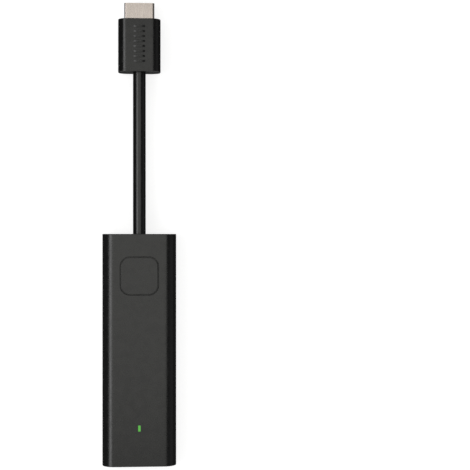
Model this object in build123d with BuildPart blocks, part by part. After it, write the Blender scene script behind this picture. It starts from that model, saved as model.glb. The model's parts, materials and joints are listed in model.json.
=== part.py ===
from build123d import *
import math
import os

# A slim media player stick with a captive video lead, in millimetres. It lies on its back:
# +Z goes up through the face with the button, +Y runs along the lead to the plug, and the
# origin is on the underside, below the middle of the stick.

# Stick body: two half shells with fully rounded sides, joined at mid-height.
BODY_W = 34.2
BODY_L = 107.4
BODY_T = 12.0
SIDE_R = 5.8
END_R = 0.35
WALL = 1.5
END_WALL = 1.6
FIT = 0.03  # radial play of a static fit
LIP_H = 0.8
LIP_T = 0.6
LIP_PLAY = 0.05
SEAM_W = 0.2
SEAM_D = 0.15

# Button and its switch. The cap drops by TRAVEL and takes the plunger with it.
BUTTON_Y = 34.3
BUTTON_W = 16.85
BUTTON_R = 4.1
BUTTON_GAP = 0.45
RIM_CHAMFER = 0.15
BUTTON_FLANGE = 1.2
FLANGE_T = 0.8
FLANGE_PLAY = 0.2
CAP_SKIN = 1.1
GUIDE_T = 1.0
GUIDE_H = 1.6
TRAVEL = 0.3
SWITCH_W = 6.0
SWITCH_H = 3.4
PLUNGER_R = 1.7
PLUNGER_OUT = 0.9
PLUNGER_PLAY = 0.06
CONTACT_GAP = 0.05

# Status light.
LIGHT_Y = -35.95
LIGHT_W = 1.1
LIGHT_L = 2.75
LED_H = 0.65

# Power socket in the end wall.
PORT_W = 8.94
PORT_H = 3.16
PORT_D = 7.0
PORT_WALL = 0.3
PORT_INSET = 0.4

# Main board.
BOARD_W = 28.4
BOARD_L = 96.4
BOARD_T = 1.0
BOARD_END = -52.0

# Shield over the processor.
SHIELD_W = 25.6
SHIELD_L = 32.0
SHIELD_Y = 6.0
SHIELD_H = 1.9
SHEET = 0.2
SPREADER_T = 1.2

# Captive lead, from the stick's end wall to the plug.
LEAD_D = 5.9
LEAD_SAG = 0.9
LEAD_RUN = 75.05

# Video plug: moulded grip and standard metal nose.
GRIP_W = 19.65
GRIP_L = 24.55
GRIP_T = 11.2
GRIP_R = 4.45
GRIP_END_R = 0.3
NOSE_W = 13.9
NOSE_H = 4.45
NOSE_OUT = 7.55
NOSE_WALL = 0.35
NOSE_R = 1.0
CAN_W = 15.0
CAN_H = 6.2
CAN_L = 17.0
CAN_WALL = 0.3

# Values worked out from the ones above.
MID_Z = BODY_T / 2
PLUG_Z = GRIP_T / 2
HALF_L = BODY_L / 2
FLOOR_Z = WALL
CEILING_Z = BODY_T - WALL
BOARD_TOP = MID_Z - PORT_H / 2
BOARD_BOTTOM = BOARD_TOP - BOARD_T
SHIELD_TOP = BOARD_TOP + SHIELD_H
LID_TOP = SHIELD_TOP + CONTACT_GAP + SHEET
FLANGE_TOP = CEILING_Z - FLANGE_PLAY
FLANGE_BOTTOM = FLANGE_TOP - FLANGE_T
FLANGE_W = BUTTON_W + 2 * BUTTON_FLANGE
SWITCH_TOP = BOARD_TOP + SWITCH_H
PLUNGER_TOP = SWITCH_TOP + PLUNGER_OUT
LEAD_R = LEAD_D / 2
GRIP_Y = HALF_L + LEAD_RUN
GRIP_FRONT = GRIP_Y + GRIP_L
NOSE_TIP = GRIP_FRONT + NOSE_OUT
CAN_Y = GRIP_FRONT - 1.0 - CAN_L

ON_TOP = (Align.CENTER, Align.CENTER, Align.MIN)
HANGING = (Align.CENTER, Align.CENTER, Align.MAX)


def across(y):
    """The plane across the stick at y: its normal is +Y, its x axis is -X and its y axis is +Z."""
    return Plane(origin=(0, y, 0), x_dir=(-1, 0, 0), z_dir=(0, 1, 0))


def nose_outline(inset):
    """The corners of the plug's nose, inset from its outside, round the middle of the plug."""
    half_w = NOSE_W / 2 - inset
    half_h = NOSE_H / 2 - inset
    shoulder = -0.6 - inset * math.tan(math.radians(22.5))
    foot = half_w - (half_h + shoulder)
    return [
        (-half_w, half_h),
        (-half_w, shoulder),
        (-foot, -half_h),
        (foot, -half_h),
        (half_w, shoulder),
        (half_w, half_h),
    ]


# ---- Covers ----

SNAP_YS = (-42.0, -14.0, 14.0)
SNAP_X = 14.72
SNAP_T = 0.75
SNAP_W = 4.0
SNAP_BOTTOM = 4.1
SNAP_NIB = 0.6
PEG_R = 0.95
POST_R = 1.6
POSTS = [(x, y) for x in (-11.2, 11.2) for y in (-30.6, 41.0)]
SPREADER_PEGS = [(x, SHIELD_Y + y) for x in (-9.5, 9.5) for y in (-12.5, 12.5)]
STAKE_R = 0.7
CRADLE_Y = 48.4
CRADLE_T = 1.0
LABEL_Y = 28.0
LABEL_W = 21.0
LABEL_L = 34.0
LABEL_T = 0.12
LABEL_RECESS = 0.2

with BuildPart() as casing:
    with BuildSketch(across(-HALF_L)):
        with Locations((0, MID_Z)):
            RectangleRounded(BODY_W, BODY_T, SIDE_R)
    extrude(amount=BODY_L)
    fillet(casing.faces().sort_by(Axis.Y)[0].edges(), END_R)
    fillet(casing.faces().sort_by(Axis.Y)[-1].edges(), END_R)
    with BuildSketch(across(-HALF_L + END_WALL)):
        with Locations((0, MID_Z)):
            RectangleRounded(BODY_W - 2 * WALL, BODY_T - 2 * WALL, SIDE_R - WALL)
    extrude(amount=BODY_L - 2 * END_WALL, mode=Mode.SUBTRACT)
    with BuildSketch(across(HALF_L - 2 * END_WALL)):
        with Locations((0, MID_Z)):
            Circle(LEAD_R + FIT)
    extrude(amount=3 * END_WALL, mode=Mode.SUBTRACT)
    with BuildSketch(across(-HALF_L - END_WALL)):
        with Locations((0, MID_Z)):
            RectangleRounded(PORT_W + 0.4, PORT_H + 0.4, PORT_H / 2 + 0.19)
    extrude(amount=3 * END_WALL, mode=Mode.SUBTRACT)
    # The fine groove that shows round the joint of the two covers.
    with BuildSketch(Plane.XY.offset(MID_Z - SEAM_W / 2)):
        Rectangle(BODY_W + 1.0, BODY_L + 1.0)
        RectangleRounded(
            BODY_W - 2 * SEAM_D, BODY_L - 2 * SEAM_D, END_R - SEAM_D, mode=Mode.SUBTRACT
        )
    extrude(amount=SEAM_W, mode=Mode.SUBTRACT)

INNER_W = BODY_W - 2 * WALL
INNER_L = BODY_L - 2 * END_WALL

with BuildPart() as top_cover:
    add(casing.part)
    split(bisect_by=Plane.XY.offset(MID_Z), keep=Keep.TOP)
    # The rebate that takes the other cover's lip.
    with BuildSketch(Plane.XY.offset(MID_Z)):
        Rectangle(INNER_W + 2 * (LIP_T + LIP_PLAY), INNER_L + 2 * (LIP_T + LIP_PLAY))
        Rectangle(INNER_W - 1.0, INNER_L - 1.0, mode=Mode.SUBTRACT)
    extrude(amount=LIP_H + LIP_PLAY, mode=Mode.SUBTRACT)
    # Openings for the button and the light.
    with BuildSketch(Plane.XY.offset(BODY_T + 1)):
        with Locations((0, BUTTON_Y)):
            RectangleRounded(
                BUTTON_W + 2 * BUTTON_GAP, BUTTON_W + 2 * BUTTON_GAP, BUTTON_R + BUTTON_GAP
            )
        with Locations((0, LIGHT_Y)):
            RectangleRounded(LIGHT_W + 2 * FIT, LIGHT_L + 2 * FIT, 0.25)
    extrude(amount=-2 * WALL, mode=Mode.SUBTRACT)
    rims = top_cover.faces().sort_by(Axis.Z)[-1].inner_wires().sort_by(SortBy.LENGTH)
    chamfer(rims[-1].edges(), RIM_CHAMFER)
    # The wall that guides the button's flange.
    with BuildSketch(Plane.XY.offset(CEILING_Z)):
        with Locations((0, BUTTON_Y)):
            guide_hole = FLANGE_W + 2 * FLANGE_PLAY
            Rectangle(guide_hole + 2 * GUIDE_T, guide_hole + 2 * GUIDE_T)
            Rectangle(guide_hole, guide_hole, mode=Mode.SUBTRACT)
    extrude(amount=-GUIDE_H)
    # Posts that press on the heat spreader, with stakes through it.
    with Locations(*[(x, y, CEILING_Z) for x, y in SPREADER_PEGS]):
        Cylinder(1.2, CEILING_Z - LID_TOP - 1.0 - SPREADER_T, align=HANGING)
        Cylinder(STAKE_R, CEILING_Z - LID_TOP - 1.1, align=HANGING)
    # Snap hooks.
    for side in (-1, 1):
        for y in SNAP_YS:
            with Locations((side * SNAP_X, y, SNAP_BOTTOM)):
                Box(SNAP_T, SNAP_W, 9.4 - SNAP_BOTTOM, align=ON_TOP)
            with Locations((side * (SNAP_X + SNAP_NIB / 2), y, SNAP_BOTTOM)):
                Box(SNAP_T, SNAP_W, 0.7, align=ON_TOP)
    # The upper half of the cradle behind the lead's grommet.
    with Locations((0, CRADLE_Y, CEILING_Z + 0.2)):
        Box(12.0, CRADLE_T, CEILING_Z + 0.2 - MID_Z - FIT, align=HANGING)
    with BuildSketch(across(CRADLE_Y - CRADLE_T)):
        with Locations((0, MID_Z)):
            Circle(2.75)
    extrude(amount=2 * CRADLE_T, mode=Mode.SUBTRACT)

with BuildPart() as bottom_cover:
    add(casing.part)
    split(bisect_by=Plane.XY.offset(MID_Z), keep=Keep.BOTTOM)
    with BuildSketch(Plane.XY.offset(MID_Z - 0.5)):
        Rectangle(INNER_W + 2 * LIP_T, INNER_L + 2 * LIP_T)
        Rectangle(INNER_W, INNER_L, mode=Mode.SUBTRACT)
    extrude(amount=LIP_H + 0.5)
    # The lip leaves room for the lead and for the power socket.
    with BuildSketch(across(-HALF_L - END_WALL)):
        with Locations((0, MID_Z)):
            RectangleRounded(PORT_W + 0.4, PORT_H + 0.4, PORT_H / 2 + 0.19)
    extrude(amount=3 * END_WALL, mode=Mode.SUBTRACT)
    with BuildSketch(across(HALF_L - 2 * END_WALL)):
        with Locations((0, MID_Z)):
            Circle(LEAD_R + FIT)
    extrude(amount=3 * END_WALL, mode=Mode.SUBTRACT)
    # Posts under the board, with pegs through it.
    with Locations(*[(x, y, FLOOR_Z - 0.2) for x, y in POSTS]):
        Cylinder(POST_R, BOARD_BOTTOM - FLOOR_Z + 0.2, align=ON_TOP)
        Cylinder(PEG_R, BOARD_TOP + 0.5 - FLOOR_Z, align=ON_TOP)
    # Catches for the snap hooks.
    for side in (-1, 1):
        for y in SNAP_YS:
            with Locations((side * 15.4, y, SNAP_BOTTOM - 0.1)):
                Box(1.2, SNAP_W + 0.2, 0.95, align=ON_TOP, mode=Mode.SUBTRACT)
    with Locations((0, CRADLE_Y, FLOOR_Z - 0.2)):
        Box(12.0, CRADLE_T, MID_Z - FLOOR_Z + 0.2 - FIT, align=ON_TOP)
    with BuildSketch(across(CRADLE_Y - CRADLE_T)):
        with Locations((0, MID_Z)):
            Circle(2.75)
    extrude(amount=2 * CRADLE_T, mode=Mode.SUBTRACT)
    # The shallow recess for the label.
    with BuildSketch(Plane.XY):
        with Locations((0, LABEL_Y)):
            RectangleRounded(LABEL_W + 0.4, LABEL_L + 0.4, 1.7)
    extrude(amount=LABEL_RECESS, mode=Mode.SUBTRACT)

with BuildPart() as rating_label:
    with BuildSketch(Plane.XY.offset(LABEL_RECESS)):
        with Locations((0, LABEL_Y)):
            RectangleRounded(LABEL_W, LABEL_L, 1.5)
    extrude(amount=-LABEL_T)

# ---- Button, light and switch ----

with BuildPart() as button_cap:
    with BuildSketch(Plane.XY.offset(FLANGE_BOTTOM)):
        with Locations((0, BUTTON_Y)):
            RectangleRounded(FLANGE_W, FLANGE_W, BUTTON_R)
    extrude(amount=FLANGE_T)
    with BuildSketch(Plane.XY.offset(FLANGE_BOTTOM)):
        with Locations((0, BUTTON_Y)):
            RectangleRounded(BUTTON_W, BUTTON_W, BUTTON_R)
    extrude(amount=BODY_T - FLANGE_BOTTOM)
    fillet(button_cap.faces().sort_by(Axis.Z)[-1].edges(), 0.18)
    with BuildSketch(Plane.XY.offset(FLANGE_BOTTOM)):
        with Locations((0, BUTTON_Y)):
            RectangleRounded(BUTTON_W - 2.4, BUTTON_W - 2.4, BUTTON_R - 1.2)
    extrude(amount=BODY_T - CAP_SKIN - FLANGE_BOTTOM, mode=Mode.SUBTRACT)
    # Two crossed ribs and the post that pushes the switch.
    with Locations((0, BUTTON_Y, BODY_T - CAP_SKIN)):
        Box(BUTTON_W - 2.0, 0.8, 1.2, align=HANGING)
        Box(0.8, BUTTON_W - 2.0, 1.2, align=HANGING)
        Cylinder(1.8, BODY_T - CAP_SKIN - PLUNGER_TOP - CONTACT_GAP, align=HANGING)

with BuildPart() as light_pipe:
    with BuildSketch(Plane.XY.offset(CEILING_Z - 0.9)):
        with Locations((0, LIGHT_Y)):
            RectangleRounded(LIGHT_W, LIGHT_L, 0.22)
    extrude(amount=BODY_T - CEILING_Z + 0.9)
    with Locations((0, LIGHT_Y, CEILING_Z - CONTACT_GAP)):
        Box(3.2, 5.2, 0.8, align=HANGING)
    with BuildSketch(Plane.XY.offset(CEILING_Z - 0.8)) as wide_end:
        with Locations((0, LIGHT_Y)):
            Rectangle(2.2, 3.6)
    with BuildSketch(Plane.XY.offset(BOARD_TOP + LED_H + 0.3)) as narrow_end:
        with Locations((0, LIGHT_Y)):
            Rectangle(1.6, 2.6)
    loft(sections=[narrow_end.sketch, wide_end.sketch])

with BuildPart() as status_led:
    with Locations((0, LIGHT_Y, BOARD_TOP)):
        Box(1.6, 3.0, LED_H, align=ON_TOP)

PLUNGER_SLOT_Z = BOARD_TOP + 2.5
PLUNGER_FOOT_R = 2.15
DOME_R = 2.2
DOME_RISE = 0.5
DOME_TOP = BOARD_TOP + 0.6 + DOME_RISE

with BuildPart() as switch_base:
    with Locations((0, BUTTON_Y, BOARD_TOP)):
        Box(SWITCH_W, SWITCH_W, SWITCH_H, align=ON_TOP)
    chamfer(switch_base.edges().filter_by(Axis.Z), 0.5)
    with Locations((0, BUTTON_Y, BOARD_TOP + 0.6)):
        Cylinder(DOME_R + 0.2, 1.9, align=ON_TOP, mode=Mode.SUBTRACT)
        Cylinder(PLUNGER_R + PLUNGER_PLAY, SWITCH_H, align=ON_TOP, mode=Mode.SUBTRACT)

with BuildPart() as switch_dome:
    with BuildSketch(Plane.XZ.offset(-BUTTON_Y)):
        with BuildLine():
            dome_z = BOARD_TOP + 0.6
            outside = SagittaArc((-DOME_R, dome_z), (DOME_R, dome_z), DOME_RISE)
            Line(outside @ 1, (DOME_R - 0.15, dome_z))
            SagittaArc((DOME_R - 0.15, dome_z), (0.15 - DOME_R, dome_z), 0.1 - DOME_RISE)
            Line((0.15 - DOME_R, dome_z), (-DOME_R, dome_z))
        make_face()
        with Locations((-2 * DOME_R, dome_z)):
            Rectangle(4 * DOME_R, 4 * DOME_R, mode=Mode.SUBTRACT)
    revolve(axis=Axis((0, BUTTON_Y, 0), (0, 0, 1)))

with BuildPart() as switch_plunger:
    with Locations((0, BUTTON_Y, PLUNGER_TOP)):
        Cylinder(PLUNGER_R, PLUNGER_TOP - DOME_TOP - TRAVEL - CONTACT_GAP, align=HANGING)
    with Locations((0, BUTTON_Y, PLUNGER_SLOT_Z - CONTACT_GAP)):
        Cylinder(PLUNGER_FOOT_R, 0.5, align=HANGING)

# ---- Main board and what is soldered to it ----

BOARD_Y = BOARD_END + BOARD_L / 2

with BuildPart() as main_board:
    with BuildSketch(Plane.XY.offset(BOARD_BOTTOM)):
        with Locations((0, BOARD_Y)):
            RectangleRounded(BOARD_W, BOARD_L, 1.5)
        with Locations(*POSTS):
            Circle(PEG_R + FIT, mode=Mode.SUBTRACT)
    extrude(amount=BOARD_T)


def chips(places, size, bottom):
    """Flat packages of one size, standing on or hanging from a level, as separate solids."""
    width, length, height = size
    with BuildPart() as group:
        with Locations(*[(x, y, bottom) for x, y in places]):
            Box(width, length, height, align=ON_TOP)
    return group


PROCESSOR_H = 1.2
PROCESSOR_XY = (-4.0, SHIELD_Y + 7.0)
STORAGE_H = 1.0
STORAGE_XY = (0.0, SHIELD_Y + 6.0)

processor = chips([PROCESSOR_XY], (13.0, 13.0, PROCESSOR_H), BOARD_TOP)
memory_chips = chips([(8.0, SHIELD_Y + y) for y in (8.2, -3.2)], (7.2, 10.0, 0.9), BOARD_TOP)
power_controller = chips([(-6.5, SHIELD_Y - 7.0)], (6.0, 6.0, 0.85), BOARD_TOP)
storage_chip = chips([STORAGE_XY], (11.5, 13.0, STORAGE_H), BOARD_BOTTOM - STORAGE_H)
clock_crystal = chips([(0.4, SHIELD_Y - 2.4)], (2.5, 3.2, 0.8), BOARD_TOP)
power_inductors = chips(
    [(x, SHIELD_Y - 12.8) for x in (-9.4, -5.9, -2.4)], (2.6, 3.0, 1.4), BOARD_TOP
)
SMALL_PARTS = [(x, y) for x in (-12.6, 12.6) for y in (27.2, 29.2, 31.2, 33.2)]
SMALL_PARTS += [(x, -28.0) for x in (-6.0, -3.6, -1.2, 1.2, 3.6, 6.0)]
SMALL_PARTS += [(x, -42.6) for x in (-5.0, -2.5, 2.5, 5.0)]
board_capacitors = chips(SMALL_PARTS, (1.0, 1.6, 0.8), BOARD_TOP)

with BuildPart() as shield_frame:
    with BuildSketch(Plane.XY.offset(BOARD_TOP)):
        with Locations((0, SHIELD_Y)):
            RectangleRounded(SHIELD_W, SHIELD_L, 0.8)
            RectangleRounded(SHIELD_W - 2 * SHEET, SHIELD_L - 2 * SHEET, 0.6, mode=Mode.SUBTRACT)
    extrude(amount=SHIELD_H)

LID_PLAY = 0.05
LID_W = SHIELD_W + 2 * (LID_PLAY + SHEET)
LID_L = SHIELD_L + 2 * (LID_PLAY + SHEET)
LID_SKIRT = 1.2

with BuildPart() as shield_lid:
    with BuildSketch(Plane.XY.offset(LID_TOP - LID_SKIRT)):
        with Locations((0, SHIELD_Y)):
            RectangleRounded(LID_W, LID_L, 1.05)
    extrude(amount=LID_SKIRT)
    with BuildSketch(Plane.XY.offset(LID_TOP - LID_SKIRT)):
        with Locations((0, SHIELD_Y)):
            RectangleRounded(LID_W - 2 * SHEET, LID_L - 2 * SHEET, 0.85)
    extrude(amount=LID_SKIRT - SHEET, mode=Mode.SUBTRACT)

PAD_H = 1.0
processor_pad = chips(
    [PROCESSOR_XY], (12.0, 12.0, SHIELD_H - PROCESSOR_H + CONTACT_GAP), BOARD_TOP + PROCESSOR_H
)
spreader_pad = chips([PROCESSOR_XY], (14.0, 14.0, PAD_H), LID_TOP)
SPREADER_W = 23.0
SPREADER_L = 29.0

with BuildPart() as heat_spreader:
    with BuildSketch(Plane.XY.offset(LID_TOP + PAD_H)):
        with Locations((0, SHIELD_Y)):
            RectangleRounded(SPREADER_W, SPREADER_L, 2.0)
        with Locations(*SPREADER_PEGS):
            Circle(STAKE_R + FIT, mode=Mode.SUBTRACT)
    extrude(amount=SPREADER_T)

FOIL_T = 0.3
bottom_spreader = chips([(0, SHIELD_Y)], (22.0, 30.0, FOIL_T), FLOOR_Z)
storage_pad = chips(
    [STORAGE_XY], (11.0, 12.0, BOARD_BOTTOM - STORAGE_H - FLOOR_Z - FOIL_T), FLOOR_Z + FOIL_T
)

RADIO_XY = (0.0, -19.0)
RADIO_BOARD_T = 0.6
radio_board = chips([RADIO_XY], (13.0, 13.0, RADIO_BOARD_T), BOARD_TOP)

with BuildPart() as radio_can:
    with Locations((*RADIO_XY, BOARD_TOP + RADIO_BOARD_T)):
        Box(12.0, 12.0, 1.6, align=ON_TOP)
        Box(11.6, 11.6, 1.4, align=ON_TOP, mode=Mode.SUBTRACT)

ANTENNA_X = 12.9
ANTENNA_Y = -44.0
ANTENNA_L = 12.0
ANTENNA_T = 0.25


def antenna(side):
    """A stamped strip that stands on the board's edge on two legs, with one soldered foot."""
    with BuildPart() as strip:
        with Locations((side * ANTENNA_X, ANTENNA_Y, BOARD_TOP + 1.6)):
            Box(ANTENNA_T, ANTENNA_L, 1.8, align=ON_TOP)
        with Locations(*[(side * ANTENNA_X, ANTENNA_Y + y, BOARD_TOP) for y in (2.6, 5.2)]):
            Box(ANTENNA_T, 1.2, 1.7, align=ON_TOP)
        with Locations((side * (ANTENNA_X - 0.9), ANTENNA_Y + 5.2, BOARD_TOP)):
            Box(1.9, 1.2, ANTENNA_T, align=ON_TOP)
    return strip


antenna_left = antenna(-1)
antenna_right = antenna(1)

# ---- Power socket ----

PORT_MOUTH = -HALF_L + PORT_INSET
TONGUE_W = 6.7
TONGUE_T = 0.7
PORT_PITCH = 0.5

with BuildPart() as power_port_shell:
    with BuildSketch(across(PORT_MOUTH)):
        with Locations((0, MID_Z)):
            RectangleRounded(PORT_W, PORT_H, PORT_H / 2 - 0.01)
    extrude(amount=PORT_D)
    with BuildSketch(across(PORT_MOUTH)):
        with Locations((0, MID_Z)):
            RectangleRounded(
                PORT_W - 2 * PORT_WALL, PORT_H - 2 * PORT_WALL, PORT_H / 2 - PORT_WALL - 0.01
            )
    extrude(amount=PORT_D - PORT_WALL, mode=Mode.SUBTRACT)

with BuildPart() as power_port_tongue:
    with BuildSketch(across(PORT_MOUTH + PORT_D - PORT_WALL - 1.6)):
        with Locations((0, MID_Z)):
            inset = 2 * (PORT_WALL + FIT)
            RectangleRounded(PORT_W - inset, PORT_H - inset, (PORT_H - inset) / 2 - 0.01)
    extrude(amount=1.6 - FIT)
    with Locations((0, PORT_MOUTH + 0.8, MID_Z)):
        tongue_l = PORT_D - PORT_WALL - 1.8
        Box(TONGUE_W, tongue_l, TONGUE_T, align=(Align.CENTER, Align.MIN, Align.CENTER))

with BuildPart() as power_port_contacts:
    for level in (1, -1):
        with Locations((0, PORT_MOUTH + 2.6, MID_Z + level * (TONGUE_T / 2 + 0.05))):
            with GridLocations(PORT_PITCH, 1, 12, 1):
                Box(0.28, 3.4, 0.1)

# ---- Where the lead enters the stick ----

TAIL_END = 49.6
FERRULE_R = 2.5
FERRULE_Y = 46.6
HEADER_W = 13.0
HEADER_Y = 41.2
HEADER_L = 2.6
SOCKET_H = 2.6
WIRE_R = 0.32
WIRE_COUNT = 9
WIRE_PITCH = 1.3
BUNDLE_PITCH = 0.38
BUNDLE_RISE = 0.7

with BuildPart() as lead_tail:
    with BuildSketch(across(TAIL_END)):
        with Locations((0, MID_Z)):
            Circle(LEAD_R)
    extrude(amount=HALF_L - TAIL_END)

with BuildPart() as lead_grommet:
    grommet_y = CRADLE_Y + CRADLE_T / 2 + FIT
    with BuildSketch(across(grommet_y)):
        with Locations((0, MID_Z)):
            RectangleRounded(11.0, 8.4, 2.0)
            Circle(LEAD_R + FIT, mode=Mode.SUBTRACT)
    extrude(amount=HALF_L - END_WALL - FIT - grommet_y)

with BuildPart() as lead_ferrule:
    with BuildSketch(across(FERRULE_Y)):
        with Locations((0, MID_Z)):
            Circle(FERRULE_R)
            Circle(FERRULE_R - 0.4, mode=Mode.SUBTRACT)
    extrude(amount=TAIL_END - FERRULE_Y)

with BuildPart() as lead_socket:
    with Locations((0, HEADER_Y - 0.6, BOARD_TOP)):
        Box(HEADER_W + 2.4, HEADER_L + 1.2, SOCKET_H, align=ON_TOP)
    with Locations((0, HEADER_Y, BOARD_TOP + 0.5)):
        Box(HEADER_W + 2 * FIT, HEADER_L + 2 * FIT, SOCKET_H, align=ON_TOP, mode=Mode.SUBTRACT)

with BuildPart() as lead_header:
    with Locations((0, HEADER_Y, BOARD_TOP + 0.5 + FIT)):
        Box(HEADER_W, HEADER_L, 2.3, align=ON_TOP)


def wire(start, end, radius):
    """A straight wire between two points, to be built inside a part's block."""
    line = Vector(*end) - Vector(*start)
    with BuildSketch(Plane(origin=start, z_dir=line)) as section:
        Circle(radius)
    extrude(section.sketch, amount=line.length)


with BuildPart() as lead_wires:
    for i in range(WIRE_COUNT):
        place = i - (WIRE_COUNT - 1) / 2
        rise = BUNDLE_RISE if i % 2 else -BUNDLE_RISE
        header_end = (place * WIRE_PITCH, HEADER_Y + HEADER_L / 2 + 0.22, BOARD_TOP + 2.0)
        bundle_end = (place * BUNDLE_PITCH, FERRULE_Y - 0.1, MID_Z + rise)
        wire(header_end, bundle_end, WIRE_R)

# ---- Lead: straight when seen from above, hanging a little between stick and plug ----

LEAD_ROUTE = [
    (0, HALF_L, MID_Z),
    (0, HALF_L + 14.0, MID_Z),
    (0, HALF_L + LEAD_RUN / 2, (MID_Z + PLUG_Z) / 2 - LEAD_SAG),
    (0, GRIP_Y - 14.0, PLUG_Z),
    (0, GRIP_Y, PLUG_Z),
]


def bend_radii(points):
    """For each inner point, the arc that takes 0.45 of the shorter of its two runs."""
    radii = []
    for before, here, after in zip(points, points[1:], points[2:]):
        run_in = Vector(*here) - Vector(*before)
        run_out = Vector(*after) - Vector(*here)
        half_turn = math.radians(run_in.get_angle(run_out)) / 2
        radii.append(0.45 * min(run_in.length, run_out.length) / math.tan(half_turn))
    return radii


radii = bend_radii(LEAD_ROUTE)
print("lead bend radii:", [round(r, 1) for r in radii])

with BuildPart() as lead_jacket:
    with BuildLine():
        lead_line = FilletPolyline(*LEAD_ROUTE, radius=radii)
    with BuildSketch(across(HALF_L)):
        with Locations((0, MID_Z)):
            Circle(LEAD_R)
    sweep(path=lead_line)

lead_volume = math.pi * LEAD_R**2 * lead_line.length
print("lead length:", round(lead_line.length, 2))
print("volume over section times length:", round(lead_jacket.part.volume / lead_volume, 4))

# ---- Video plug ----

RIB_COUNT = 8
RIB_PITCH = 2.3
RIB_LENGTH = 5.6
RIB_WIDTH = 1.0
RIB_HEIGHT = 0.55
RIB_CROWN_R = 6.5
RIB_EDGE_R = 0.15
RIB_Y = GRIP_Y + 12.8
PLUG_TAIL_L = 3.4
PLUG_FERRULE_R = 2.9
NOSE_REAR = GRIP_FRONT - 6.0
SLOT_W = 11.6
SLOT_H = 1.7

# The grip ribs are crowned along their length, and run out into the grip at both ends.
with BuildPart() as grip_ribs:
    with BuildSketch(Plane.XY.offset(GRIP_T - 0.5)):
        with Locations((0, RIB_Y)):
            with GridLocations(1, RIB_PITCH, 1, RIB_COUNT):
                RectangleRounded(RIB_LENGTH, RIB_WIDTH, RIB_WIDTH / 2 - 0.01)
    extrude(amount=1.5)
    with BuildSketch(across(GRIP_Y)):
        with Locations((0, GRIP_T + RIB_HEIGHT - RIB_CROWN_R)):
            Circle(RIB_CROWN_R)
    extrude(amount=GRIP_L, mode=Mode.INTERSECT)
    crowns = grip_ribs.faces().filter_by(GeomType.CYLINDER).filter_by(lambda f: f.radius > 5)
    fillet(crowns.edges(), RIB_EDGE_R)

with BuildPart() as plug_overmold:
    with BuildSketch(across(GRIP_Y)):
        with Locations((0, PLUG_Z)):
            RectangleRounded(GRIP_W, GRIP_T, GRIP_R)
    extrude(amount=GRIP_L)
    fillet(plug_overmold.faces().sort_by(Axis.Y)[0].edges(), GRIP_END_R)
    fillet(plug_overmold.faces().sort_by(Axis.Y)[-1].edges(), GRIP_END_R)
    add(grip_ribs.part)
    with BuildSketch(across(CAN_Y - FIT)):
        with Locations((0, PLUG_Z)):
            Rectangle(CAN_W + 2 * FIT, CAN_H + 2 * FIT)
    extrude(amount=CAN_L + 2 * FIT, mode=Mode.SUBTRACT)
    with BuildSketch(across(GRIP_Y)):
        with Locations((0, PLUG_Z)):
            Circle(LEAD_R + FIT)
    extrude(amount=PLUG_TAIL_L + FIT, mode=Mode.SUBTRACT)
    with BuildSketch(across(GRIP_Y)):
        with Locations((0, PLUG_Z)):
            Circle(PLUG_FERRULE_R + FIT)
    extrude(amount=CAN_Y - GRIP_Y, mode=Mode.SUBTRACT)
    with BuildSketch(across(GRIP_FRONT - 2.0)):
        with Locations((0, PLUG_Z)):
            Polygon(*nose_outline(-FIT), align=None)
    extrude(amount=3.0, mode=Mode.SUBTRACT)

with BuildPart() as plug_lead_tail:
    with BuildSketch(across(GRIP_Y)):
        with Locations((0, PLUG_Z)):
            Circle(LEAD_R)
    extrude(amount=PLUG_TAIL_L)

with BuildPart() as plug_ferrule:
    with BuildSketch(across(GRIP_Y + PLUG_TAIL_L + FIT)):
        with Locations((0, PLUG_Z)):
            Circle(PLUG_FERRULE_R)
            Circle(PLUG_FERRULE_R - 0.4, mode=Mode.SUBTRACT)
    extrude(amount=CAN_Y - FIT - GRIP_Y - PLUG_TAIL_L - 2 * FIT)

with BuildPart() as plug_can:
    with BuildSketch(across(CAN_Y)):
        with Locations((0, PLUG_Z)):
            Rectangle(CAN_W, CAN_H)
    extrude(amount=CAN_L)
    with BuildSketch(across(CAN_Y + CAN_WALL)):
        with Locations((0, PLUG_Z)):
            Rectangle(CAN_W - 2 * CAN_WALL, CAN_H - 2 * CAN_WALL)
    extrude(amount=CAN_L - 2 * CAN_WALL, mode=Mode.SUBTRACT)
    with BuildSketch(across(CAN_Y - 1)):
        with Locations((0, PLUG_Z)):
            Circle(PLUG_FERRULE_R - 0.4)
    extrude(amount=2.0, mode=Mode.SUBTRACT)
    with BuildSketch(across(CAN_Y + CAN_L - 1)):
        with Locations((0, PLUG_Z)):
            Polygon(*nose_outline(-FIT), align=None)
    extrude(amount=2.0, mode=Mode.SUBTRACT)

with BuildPart() as plug_shell:
    for inset, mode in ((0, Mode.ADD), (NOSE_WALL, Mode.SUBTRACT)):
        with BuildSketch(across(NOSE_REAR)) as section:
            with Locations((0, PLUG_Z)):
                Polygon(*nose_outline(inset), align=None)
            fillet(section.vertices(), NOSE_R - inset)
        extrude(amount=NOSE_TIP - NOSE_REAR, mode=mode)

with BuildPart() as plug_insulator:
    with BuildSketch(across(NOSE_REAR - 2.0)) as section:
        with Locations((0, PLUG_Z)):
            Polygon(*nose_outline(NOSE_WALL + 0.2), align=None)
        fillet(section.vertices(), 0.15)
    extrude(amount=NOSE_TIP - NOSE_REAR + 0.8)
    with BuildSketch(across(NOSE_REAR + 2.5)):
        with Locations((0, PLUG_Z + 0.15)):
            Rectangle(SLOT_W, SLOT_H)
    extrude(amount=NOSE_TIP - NOSE_REAR, mode=Mode.SUBTRACT)

CONTACT_T = 0.15
CONTACT_W = 0.4

with BuildPart() as plug_contacts:
    for count, level in ((10, 1), (9, -1)):
        height = PLUG_Z + 0.15 + level * (SLOT_H / 2 - CONTACT_T / 2)
        with Locations((0, NOSE_REAR + 7.2, height)):
            with GridLocations(1.0, 1, count, 1):
                Box(CONTACT_W, 8.0, CONTACT_T)

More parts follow.
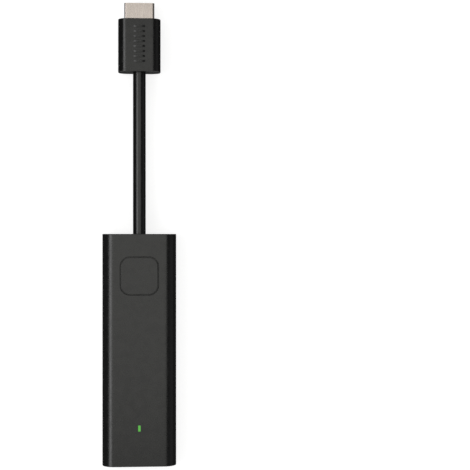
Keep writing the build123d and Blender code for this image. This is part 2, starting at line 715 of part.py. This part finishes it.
MOULD_L = 8.0
MOULD_Y = CAN_Y + CAN_WALL + FIT
PLUG_WIRES = [(x, level) for x in (-4.8, -2.4, 0, 2.4, 4.8) for level in (-1.0, 1.0)]

with BuildPart() as plug_inner_mould:
    with BuildSketch(across(MOULD_Y)):
        with Locations((0, PLUG_Z)):
            Rectangle(CAN_W - 2 * CAN_WALL - 2 * FIT, CAN_H - 2 * CAN_WALL - 2 * FIT)
        with Locations(*[(x, PLUG_Z + level) for x, level in PLUG_WIRES]):
            Circle(WIRE_R + FIT, mode=Mode.SUBTRACT)
    extrude(amount=MOULD_L)

with BuildPart() as plug_wires:
    with BuildSketch(across(MOULD_Y)):
        with Locations(*[(x, PLUG_Z + level) for x, level in PLUG_WIRES]):
            Circle(WIRE_R)
    extrude(amount=MOULD_L)

# ---- Export: one STEP per piece ----

PIECES = {
    "top_cover": top_cover,
    "bottom_cover": bottom_cover,
    "rating_label": rating_label,
    "button_cap": button_cap,
    "light_pipe": light_pipe,
    "status_led": status_led,
    "switch_base": switch_base,
    "switch_dome": switch_dome,
    "switch_plunger": switch_plunger,
    "main_board": main_board,
    "processor": processor,
    "memory_chips": memory_chips,
    "storage_chip": storage_chip,
    "power_controller": power_controller,
    "power_inductors": power_inductors,
    "board_capacitors": board_capacitors,
    "clock_crystal": clock_crystal,
    "shield_frame": shield_frame,
    "shield_lid": shield_lid,
    "processor_pad": processor_pad,
    "spreader_pad": spreader_pad,
    "heat_spreader": heat_spreader,
    "storage_pad": storage_pad,
    "bottom_spreader": bottom_spreader,
    "radio_board": radio_board,
    "radio_can": radio_can,
    "antenna_left": antenna_left,
    "antenna_right": antenna_right,
    "power_port_shell": power_port_shell,
    "power_port_tongue": power_port_tongue,
    "power_port_contacts": power_port_contacts,
    "lead_socket": lead_socket,
    "lead_header": lead_header,
    "lead_wires": lead_wires,
    "lead_ferrule": lead_ferrule,
    "lead_tail": lead_tail,
    "lead_grommet": lead_grommet,
    "lead_jacket": lead_jacket,
    "plug_overmold": plug_overmold,
    "plug_lead_tail": plug_lead_tail,
    "plug_ferrule": plug_ferrule,
    "plug_can": plug_can,
    "plug_inner_mould": plug_inner_mould,
    "plug_wires": plug_wires,
    "plug_shell": plug_shell,
    "plug_insulator": plug_insulator,
    "plug_contacts": plug_contacts,
}

os.makedirs("parts", exist_ok=True)
for name, piece in PIECES.items():
    piece.part.label = name
    export_step(piece.part, f"parts/{name}.step")
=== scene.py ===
import json
import math

import bpy
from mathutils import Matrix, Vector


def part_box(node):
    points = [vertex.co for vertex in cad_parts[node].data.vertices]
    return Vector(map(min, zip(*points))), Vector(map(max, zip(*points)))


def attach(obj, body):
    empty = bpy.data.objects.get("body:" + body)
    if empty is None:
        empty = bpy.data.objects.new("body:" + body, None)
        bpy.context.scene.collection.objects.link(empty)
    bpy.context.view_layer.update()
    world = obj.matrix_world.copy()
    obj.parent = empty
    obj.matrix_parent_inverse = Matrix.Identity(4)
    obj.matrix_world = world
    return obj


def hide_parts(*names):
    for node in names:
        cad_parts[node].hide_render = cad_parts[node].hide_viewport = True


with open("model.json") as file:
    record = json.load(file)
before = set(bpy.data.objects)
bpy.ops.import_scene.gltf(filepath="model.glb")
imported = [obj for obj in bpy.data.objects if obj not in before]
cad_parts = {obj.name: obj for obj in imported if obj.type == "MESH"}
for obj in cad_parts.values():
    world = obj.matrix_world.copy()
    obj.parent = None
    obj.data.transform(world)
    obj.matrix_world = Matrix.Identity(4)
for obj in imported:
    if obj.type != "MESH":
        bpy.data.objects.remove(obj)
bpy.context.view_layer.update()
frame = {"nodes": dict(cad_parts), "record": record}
NODES = frame["nodes"]

# Sizes in metres. The stick lies on its back, with +Z up through the button and +Y along the
# lead.
LEAD_D = 0.0059
LEAD_SAG = 0.0009
LEAD_END_RUN = 0.014

# The camera hangs over the end of the stick where the lead leaves it, turned a little to the
# right, and looks straight down otherwise.
CAMERA_HEIGHT = 0.612
CAMERA_PAST_LEAD_EXIT = -0.0005
CAMERA_YAW = math.radians(4.21)
CAMERA_LENS = 99.5
CAMERA_SENSOR = 36.0
CAMERA_CLIP_START = 0.01

# The studio is dim beside the stick and bright beyond its two ends. A direction counts as
# beside or beyond by how far along y it points, from 0 to 1.
ARCH_RADIUS = 1.2
WHITE = (1.0, 1.0, 1.0)
WARM_WHITE = (1.0, 1.0, 0.95)
ROOM_LIGHT = 0.05
WALL_LIGHT = 0.95
WALL_START = 0.38
WALL_FULL = 0.62

# The floor lies just below the underside, so that the two faces don't coincide.
FLOOR_SIZE = 12.0
FLOOR_GREY = 0.36
FLOOR_MOTTLE = 0.005
FLOOR_GLOW = 0.79
FLOOR_GAP = 0.0001

# Half the width of the fan of wires behind the lead's end, for their colours.
WIRE_FAN = 0.0058


# ---- Node helpers ----

RANGE_SOCKETS = ("From Min", "From Max", "To Min", "To Max")


class Recipe:
    """A material under construction: its Principled shader and short ways to add texture nodes."""

    def __init__(self, name, color, roughness, metallic=0.0, specular=0.5):
        self.material = bpy.data.materials.new(name)
        self.material.use_nodes = True
        self.tree = self.material.node_tree
        self.shader = self.tree.nodes["Principled BSDF"]
        self.set("Base Color", (*color, 1.0))
        self.set("Roughness", roughness)
        self.set("Metallic", metallic)
        self.set("Specular IOR Level", specular)
        self.material.diffuse_color = (*color, 1.0)
        self.place = self.add("ShaderNodeTexCoord").outputs["Object"]

    def set(self, socket, value):
        self.shader.inputs[socket].default_value = value

    def add(self, kind, **settings):
        node = self.tree.nodes.new(kind)
        for key, value in settings.items():
            setattr(node, key, value)
        return node

    def link(self, source, target):
        self.tree.links.new(source, target)

    def stretched(self, scale):
        """The object's coordinates, scaled along each axis."""
        mapping = self.add("ShaderNodeMapping")
        mapping.inputs["Scale"].default_value = scale
        self.link(self.place, mapping.inputs["Vector"])
        return mapping.outputs["Vector"]

    def noise(self, scale, detail=3.0, vector=None, rough=0.5):
        node = self.add("ShaderNodeTexNoise")
        node.inputs["Scale"].default_value = scale
        node.inputs["Detail"].default_value = detail
        node.inputs["Roughness"].default_value = rough
        self.link(vector or self.place, node.inputs["Vector"])
        return node.outputs["Fac"]

    def cells(self, scale):
        node = self.add("ShaderNodeTexVoronoi")
        node.inputs["Scale"].default_value = scale
        self.link(self.place, node.inputs["Vector"])
        return node.outputs["Distance"]

    def spread(self, value, low, high, start=0.3, end=0.7):
        """value, from start to end, as a number from low to high."""
        node = self.add("ShaderNodeMapRange")
        for socket, number in zip(RANGE_SOCKETS, (start, end, low, high)):
            node.inputs[socket].default_value = number
        self.link(value, node.inputs["Value"])
        return node.outputs["Result"]

    def tint(self, value, stops, interpolation="LINEAR"):
        """A colour for each value, from (position, colour) stops."""
        ramp = self.add("ShaderNodeValToRGB")
        ramp.color_ramp.interpolation = interpolation
        elements = ramp.color_ramp.elements
        while len(elements) < len(stops):
            elements.new(0.5)
        for element, (position, color) in zip(elements, stops):
            element.position = position
            element.color = (*color, 1.0)
        self.link(value, ramp.inputs["Fac"])
        return ramp.outputs["Color"]

    def math(self, operation, a, b):
        node = self.add("ShaderNodeMath", operation=operation)
        for socket, value in zip(node.inputs, (a, b)):
            if isinstance(value, (int, float)):
                socket.default_value = value
            else:
                self.link(value, socket)
        return node.outputs["Value"]

    def color_from(self, color):
        self.link(color, self.shader.inputs["Base Color"])

    def rough_from(self, value):
        self.link(value, self.shader.inputs["Roughness"])

    def bump(self, height, depth):
        """Raises the surface by height times depth, in metres."""
        node = self.add("ShaderNodeBump")
        node.inputs["Distance"].default_value = depth
        self.link(height, node.inputs["Height"])
        self.link(node.outputs["Normal"], self.shader.inputs["Normal"])


def shade(color, factor):
    return tuple(channel * factor for channel in color)


def grey(value):
    return (value, value, value)


# ---- Materials, one function for each kind of surface ----


def moulded_plastic(name, color, roughness, grain=4200.0):
    """Spark-eroded moulding: a fine even grain, faint cloudiness and slightly polished patches."""
    m = Recipe(name, color, roughness)
    cloud = m.noise(90.0, detail=4.0)
    m.color_from(m.tint(cloud, [(0.3, shade(color, 0.9)), (0.7, shade(color, 1.1))]))
    wear = m.noise(260.0, detail=5.0, rough=0.6)
    m.rough_from(m.spread(wear, roughness - 0.05, roughness + 0.05))
    fine = m.noise(grain, detail=2.0)
    coarse = m.noise(grain * 0.35, detail=1.0)
    m.bump(m.math("ADD", fine, m.math("MULTIPLY", coarse, 0.6)), 0.000006)
    return m.material


def lead_rubber(name, color, roughness):
    """An extruded jacket: satin, with faint drawing lines along it."""
    m = Recipe(name, color, roughness)
    along = m.stretched((1.0, 0.03, 1.0))
    lines = m.noise(2600.0, detail=2.0, vector=along)
    cloud = m.noise(120.0, detail=3.0)
    m.color_from(m.tint(cloud, [(0.3, shade(color, 0.88)), (0.7, shade(color, 1.12))]))
    m.rough_from(m.spread(lines, roughness - 0.04, roughness + 0.06))
    m.bump(m.math("ADD", lines, m.noise(5200.0, detail=1.0)), 0.000006)
    return m.material


def sheet_metal(
    name, color, roughness, stretch=(1.0, 0.05, 1.0), tarnish=0.9, depth=0.000004
):
    """Rolled and plated sheet: fine lines along the rolling direction and a light tarnish."""
    m = Recipe(name, color, roughness, metallic=1.0)
    rolled = m.noise(3800.0, detail=3.0, vector=m.stretched(stretch))
    stain = m.noise(420.0, detail=5.0, rough=0.65)
    m.color_from(m.tint(stain, [(0.32, shade(color, tarnish)), (0.62, color)]))
    m.rough_from(m.spread(rolled, roughness - 0.04, roughness + 0.05))
    m.bump(m.math("ADD", rolled, m.math("MULTIPLY", stain, 0.4)), depth)
    return m.material


def circuit_board(name, color):
    """Solder mask with paler tracks and small ringed holes under it."""
    m = Recipe(name, color, 0.32)
    track = m.add("ShaderNodeTexBrick", offset=0.37, squash=0.6, squash_frequency=3)
    track.inputs["Scale"].default_value = 520.0
    track.inputs["Mortar Size"].default_value = 0.035
    track.inputs["Color1"].default_value = (0.0, 0.0, 0.0, 1.0)
    track.inputs["Color2"].default_value = (0.25, 0.25, 0.25, 1.0)
    track.inputs["Mortar"].default_value = (1.0, 1.0, 1.0, 1.0)
    m.link(m.place, track.inputs["Vector"])
    holes = m.spread(m.cells(430.0), 1.0, 0.0, 0.10, 0.16)
    pattern = m.math("MAXIMUM", track.outputs["Color"], holes)
    weave = m.noise(900.0, detail=4.0)
    lit = m.math("ADD", m.math("MULTIPLY", pattern, 0.6), m.math("MULTIPLY", weave, 0.3))
    m.color_from(m.tint(lit, [(0.1, shade(color, 0.8)), (0.75, shade(color, 1.9))]))
    m.rough_from(m.spread(weave, 0.26, 0.42))
    m.bump(pattern, 0.00002)
    return m.material


def chip_resin(name, color):
    """Black moulding compound: a fine sparkle of filler and a matt laser-cleaned top."""
    m = Recipe(name, color, 0.55)
    grains = m.noise(7000.0, detail=2.0)
    cloud = m.noise(240.0, detail=3.0)
    m.color_from(m.tint(grains, [(0.4, shade(color, 0.85)), (0.68, shade(color, 1.7))]))
    m.rough_from(m.spread(cloud, 0.48, 0.64))
    m.bump(grains, 0.000008)
    return m.material


def soft_pad(name, color):
    """Filled silicone: mottled, slightly greasy."""
    m = Recipe(name, color, 0.6)
    blobs = m.noise(1500.0, detail=4.0)
    m.color_from(m.tint(blobs, [(0.3, shade(color, 0.8)), (0.7, shade(color, 1.15))]))
    m.rough_from(m.spread(m.noise(500.0), 0.45, 0.7))
    m.bump(blobs, 0.00003)
    return m.material


def small_parts(name, body, ends):
    """Tiny fired parts: a tan body between tinned ends, told apart along the board's length."""
    m = Recipe(name, body, 0.4)
    bands = m.add("ShaderNodeTexWave", wave_type="BANDS", bands_direction="Y")
    bands.inputs["Scale"].default_value = 78.0
    bands.inputs["Distortion"].default_value = 0.4
    m.link(m.place, bands.inputs["Vector"])
    m.color_from(m.tint(bands.outputs["Fac"], [(0.45, body), (0.55, ends)]))
    m.rough_from(m.spread(m.noise(2400.0), 0.3, 0.5))
    m.bump(m.noise(4200.0), 0.00001)
    return m.material


def wire_insulation(name, colors):
    """Thin insulated wires, whose colours change from one to the next across the fan."""
    m = Recipe(name, colors[0], 0.38)
    across = m.add("ShaderNodeSeparateXYZ")
    m.link(m.place, across.inputs["Vector"])
    along = m.spread(across.outputs["X"], 0.0, 1.0, -WIRE_FAN, WIRE_FAN)
    stops = [(i / len(colors), color) for i, color in enumerate(colors)]
    m.color_from(m.tint(along, stops, interpolation="CONSTANT"))
    m.rough_from(m.spread(m.noise(2000.0), 0.3, 0.46))
    m.bump(m.noise(6000.0, detail=1.0), 0.000005)
    return m.material


def lit_plastic(name, color, glow, strength, roughness):
    """Clear or milky plastic with light coming through it, a little uneven."""
    m = Recipe(name, color, roughness)
    m.set("Emission Color", (*glow, 1.0))
    m.set("Emission Strength", strength)
    haze = m.noise(1400.0, detail=3.0)
    m.color_from(m.tint(haze, [(0.3, shade(color, 0.85)), (0.7, shade(color, 1.1))]))
    m.rough_from(m.spread(haze, roughness - 0.05, roughness + 0.1))
    m.bump(m.noise(3800.0), 0.000006)
    return m.material


def label_film(name, color):
    """A blank printed film: satin, with a faint mottle from the glue under it."""
    m = Recipe(name, color, 0.34)
    mottle = m.noise(700.0, detail=5.0)
    m.color_from(m.tint(mottle, [(0.3, shade(color, 0.93)), (0.7, shade(color, 1.07))]))
    m.rough_from(m.spread(mottle, 0.3, 0.42))
    m.bump(m.noise(260.0, detail=2.0), 0.00003)
    return m.material


BLACK = (0.0065, 0.0065, 0.0066)
WIRE_COLORS = [
    (0.45, 0.02, 0.015),
    (0.62, 0.6, 0.55),
    (0.02, 0.12, 0.4),
    (0.03, 0.28, 0.06),
    (0.6, 0.42, 0.03),
]

MATERIALS = {
    "casing": moulded_plastic("casing_plastic", BLACK, 0.27),
    "button": moulded_plastic("button_plastic", shade(BLACK, 1.06), 0.27),
    "plug_grip": moulded_plastic("grip_plastic", shade(BLACK, 0.6), 0.26, grain=3400.0),
    "lead_jacket": lead_rubber("lead_jacket_rubber", shade(BLACK, 0.6), 0.25),
    "grommet": lead_rubber("grommet_rubber", shade(BLACK, 1.6), 0.55),
    "plug_nickel": sheet_metal(
        "nickel_plate", (0.55, 0.49, 0.457), 0.24, tarnish=0.95, depth=0.000002
    ),
    "socket_steel": sheet_metal("socket_steel", (0.58, 0.58, 0.57), 0.3),
    "can_steel": sheet_metal("tinned_sheet", (0.66, 0.66, 0.64), 0.36, stretch=(0.06, 1.0, 1.0)),
    "dome": sheet_metal("spring_steel", (0.62, 0.6, 0.56), 0.28),
    "spreader": sheet_metal("spreader_aluminium", (0.74, 0.75, 0.76), 0.42, tarnish=0.94),
    "copper_foil": sheet_metal("copper_foil", (0.72, 0.36, 0.22), 0.35, tarnish=0.75),
    "antenna": sheet_metal("plated_bronze", (0.72, 0.64, 0.46), 0.32),
    "gold": sheet_metal("gold_plate", (0.85, 0.6, 0.24), 0.22, tarnish=0.95),
    "ferrule": sheet_metal("crimped_brass", (0.68, 0.52, 0.27), 0.33, tarnish=0.82),
    "board": circuit_board("solder_mask", (0.012, 0.095, 0.038)),
    "chip": chip_resin("chip_resin", (0.02, 0.02, 0.021)),
    "coil": chip_resin("ferrite", (0.09, 0.09, 0.095)),
    "passive": small_parts("fired_parts", (0.32, 0.2, 0.1), (0.55, 0.55, 0.53)),
    "thermal_pad": soft_pad("thermal_pad", (0.3, 0.38, 0.48)),
    "switch_body": moulded_plastic("switch_nylon", (0.03, 0.03, 0.032), 0.5),
    "plunger": moulded_plastic("plunger_acetal", (0.5, 0.47, 0.4), 0.38),
    "insulator": moulded_plastic("connector_resin", (0.022, 0.022, 0.023), 0.48),
    "white_resin": moulded_plastic("natural_resin", (0.72, 0.7, 0.64), 0.45),
    "wires": wire_insulation("wire_insulation", WIRE_COLORS),
    "label": label_film("label_film", (0.075, 0.075, 0.079)),
    "lamp": lit_plastic("lamp_lens", (0.75, 0.8, 0.55), (0.2, 0.9, 0.15), 0.6, 0.25),
    "light_pipe": lit_plastic("light_pipe", (0.05, 0.25, 0.03), (0.075, 0.4, 0.04), 0.62, 0.3),
}


def paint_nodes():
    """Gives each CAD node the material of its slot."""
    for part in frame["record"]["subparts"]:
        slots = NODES[part["node"]].data.materials
        slots.clear()
        slots.append(MATERIALS[part["material_slot"]])


# ---- The free lead ----


def middle(node):
    """The middle of a CAD node's box."""
    low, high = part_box(node)
    return (low + high) / 2


STICK_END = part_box("bottom_cover")[1].y
PLUG_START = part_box("plug_overmold")[0].y
STICK_Z = middle("power_port_shell").z
PLUG_Z = middle("plug_shell").z

LEAD_ROUTE = [
    (0.0, STICK_END, STICK_Z),
    (0.0, STICK_END + LEAD_END_RUN, STICK_Z),
    (0.0, (STICK_END + PLUG_START) / 2, (STICK_Z + PLUG_Z) / 2 - LEAD_SAG),
    (0.0, PLUG_START - LEAD_END_RUN, PLUG_Z),
    (0.0, PLUG_START, PLUG_Z),
]


def build_lead():
    """The lead's jacket as one smooth curve along the route's points."""
    curve = bpy.data.curves.new("lead", "CURVE")
    curve.dimensions = "3D"
    spline = curve.splines.new("NURBS")
    spline.points.add(len(LEAD_ROUTE) - 1)
    for point, place in zip(spline.points, LEAD_ROUTE):
        point.co = (*place, 1.0)
    spline.order_u = 3
    spline.use_endpoint_u = True
    spline.resolution_u = 24
    curve.bevel_depth = LEAD_D / 2
    curve.bevel_resolution = 10
    curve.use_fill_caps = True
    curve.materials.append(MATERIALS["lead_jacket"])
    lead = bpy.data.objects.new("lead", curve)
    bpy.context.scene.collection.objects.link(lead)
    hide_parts("lead_jacket")
    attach(lead, "housing")


# ---- Stage: floor, lights and camera ----


def build_floor():
    """A plain pale floor that the object doesn't mirror."""
    mesh = bpy.data.meshes.new("floor")
    half = FLOOR_SIZE / 2
    corners = [(-half, -half, 0.0), (half, -half, 0.0), (half, half, 0.0), (-half, half, 0.0)]
    mesh.from_pydata(corners, [], [(0, 1, 2, 3)])
    floor = bpy.data.objects.new("floor", mesh)
    floor.location.z = -FLOOR_GAP
    bpy.context.scene.collection.objects.link(floor)
    m = Recipe("floor_paper", grey(FLOOR_GREY), 0.9, specular=0.1)
    darker, paler = grey(FLOOR_GREY - FLOOR_MOTTLE), grey(FLOOR_GREY + FLOOR_MOTTLE)
    m.color_from(m.tint(m.noise(6.0), [(0.3, darker), (0.7, paler)]))
    m.set("Emission Color", (*WHITE, 1.0))
    m.set("Emission Strength", FLOOR_GLOW)
    mesh.materials.append(m.material)
    floor.visible_glossy = False
    floor.visible_diffuse = False


def soft_box(name, lean, along, size, radiance, color=WHITE):
    """A rectangular soft light, hung on an arch over the stick and facing it.

    lean is its angle from straight above, positive to the right, and along its place on the y
    axis. size is its width round the arch and its length along y.
    """
    light = bpy.data.lights.new(name, "AREA")
    light.shape = "RECTANGLE"
    light.size, light.size_y = size
    light.energy = radiance * math.pi * size[0] * size[1]
    light.color = color
    lamp = bpy.data.objects.new(name, light)
    angle = math.radians(lean)
    lamp.location = (ARCH_RADIUS * math.sin(angle), along, ARCH_RADIUS * math.cos(angle))
    lamp.rotation_euler = (0.0, angle, 0.0)
    bpy.context.scene.collection.objects.link(lamp)


def build_lights():
    soft_box("overhead_light", -1.4, 0.075, (1.22, 0.74), 1.3, WARM_WHITE)
    soft_box("left_light", -41.5, 0.01, (0.5, 0.8), 3.5)
    soft_box("right_light", 76.0, 0.05, (0.8, 1.2), 0.15)


def build_world():
    """Dim air beside the stick and pale walls beyond its ends; the camera itself sees it white."""
    world = bpy.data.worlds.new("studio")
    world.use_nodes = True
    tree = world.node_tree
    direction = tree.nodes.new("ShaderNodeTexCoord").outputs["Generated"]
    axes = tree.nodes.new("ShaderNodeSeparateXYZ")
    tree.links.new(direction, axes.inputs["Vector"])
    away = tree.nodes.new("ShaderNodeMath")
    away.operation = "ABSOLUTE"
    tree.links.new(axes.outputs["Y"], away.inputs[0])
    walls = tree.nodes.new("ShaderNodeMapRange")
    walls.interpolation_type = "SMOOTHSTEP"
    for socket, number in zip(
        RANGE_SOCKETS, (WALL_START, WALL_FULL, ROOM_LIGHT, WALL_LIGHT)
    ):
        walls.inputs[socket].default_value = number
    tree.links.new(away.outputs["Value"], walls.inputs["Value"])
    seen = tree.nodes.new("ShaderNodeMath")
    seen.operation = "MAXIMUM"
    tree.links.new(walls.outputs["Result"], seen.inputs[0])
    tree.links.new(tree.nodes.new("ShaderNodeLightPath").outputs["Is Camera Ray"], seen.inputs[1])
    background = tree.nodes["Background"]
    background.inputs["Color"].default_value = (*WHITE, 1.0)
    tree.links.new(seen.outputs["Value"], background.inputs["Strength"])
    bpy.context.scene.world = world


def build_camera():
    camera = bpy.data.cameras.new("camera")
    camera.sensor_width = CAMERA_SENSOR
    camera.lens = CAMERA_LENS
    camera.clip_start = CAMERA_CLIP_START
    view = bpy.data.objects.new("camera", camera)
    view.location = (0.0, STICK_END + CAMERA_PAST_LEAD_EXIT, CAMERA_HEIGHT)
    view.rotation_euler = (0.0, -CAMERA_YAW, 0.0)
    bpy.context.scene.collection.objects.link(view)
    bpy.context.scene.camera = view


paint_nodes()
build_lead()
build_floor()
build_lights()
build_world()
build_camera()
bpy.context.scene.view_settings.view_transform = "Standard"
